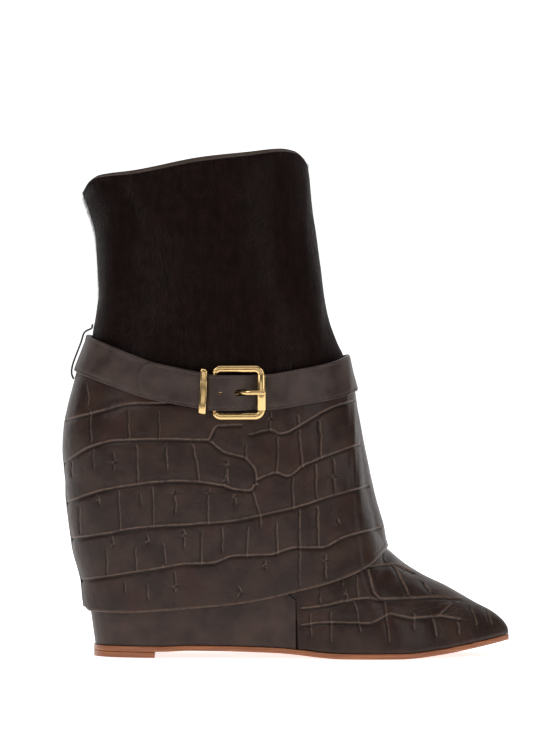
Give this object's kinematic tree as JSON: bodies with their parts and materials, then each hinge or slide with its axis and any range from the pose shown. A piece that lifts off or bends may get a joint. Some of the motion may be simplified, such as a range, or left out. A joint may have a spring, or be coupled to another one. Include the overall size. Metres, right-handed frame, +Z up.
{
  "type": "ankle boot",
  "caption": "Right ankle boot with a pointed toe, covered wedge heel, hair-on leg, fold-over cuff and buckled belt.",
  "frame": {"origin": "centre of the heel tap's underside, on the floor", "axes": "+X from heel to toe, +Z up the leg, +Y to the wearer's inner side, so the outer side faces -Y"},
  "size_m": [0.2524, 0.097, 0.286],
  "materials": {
    "croc_leather": "semi-gloss crocodile embossed",
    "hair_hide": "hair-on hide",
    "strap_leather": "satin smooth",
    "sole_leather": "waxed edge",
    "lining_leather": "matt lining",
    "gold_metal": "polished plate"
  },
  "bodies": {
    "root": {"outsole": "sole_leather", "heel_tap": "sole_leather", "wedge_heel": "croc_leather", "insole": "lining_leather", "upper": "croc_leather", "shaft": "hair_hide", "cuff": "croc_leather", "belt": "strap_leather", "back_loop": "strap_leather", "buckle_frame": "gold_metal", "buckle_roller": "gold_metal", "buckle_prong": "gold_metal", "keeper": "gold_metal"}
  },
  "joints": []
}
